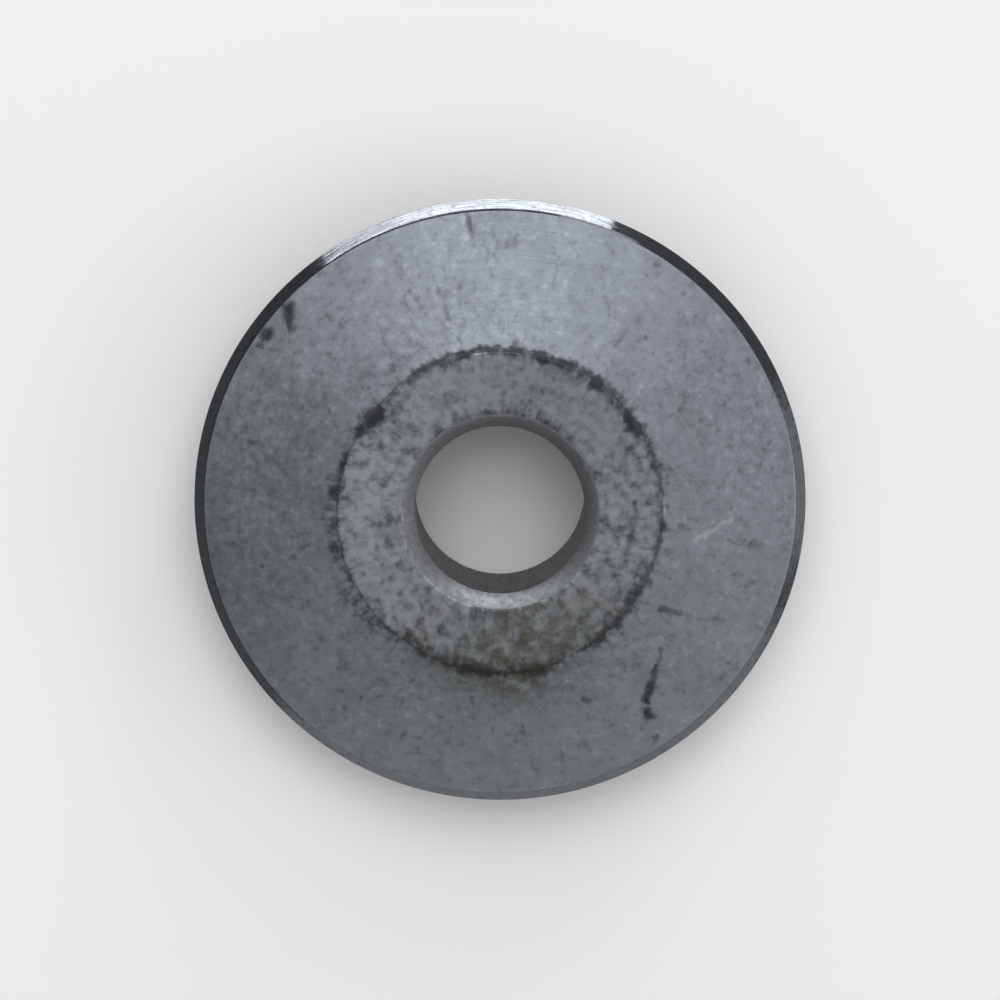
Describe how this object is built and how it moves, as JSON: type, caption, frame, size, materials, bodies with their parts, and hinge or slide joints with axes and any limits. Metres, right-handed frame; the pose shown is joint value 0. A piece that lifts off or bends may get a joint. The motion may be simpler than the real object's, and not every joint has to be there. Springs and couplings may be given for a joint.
{
  "type": "tile cutter wheel",
  "caption": "Solid scoring wheel with ground conical flanks, a steep-bevelled cutting edge, raised hub faces and a chamfered axle bore.",
  "frame": {"origin": "on the bore's axis, in the plane of the cutting edge, midway between the two hub faces", "axes": "+Z along the bore's axis, out of the upper hub face; the wheel is the same all round, so X and Y are free"},
  "size_m": [0.022, 0.022, 0.0048],
  "materials": {
    "tungsten_carbide": "ground satin, sintered matt on the hub"
  },
  "bodies": {
    "root": {"cutting_wheel": "tungsten_carbide"}
  },
  "joints": []
}
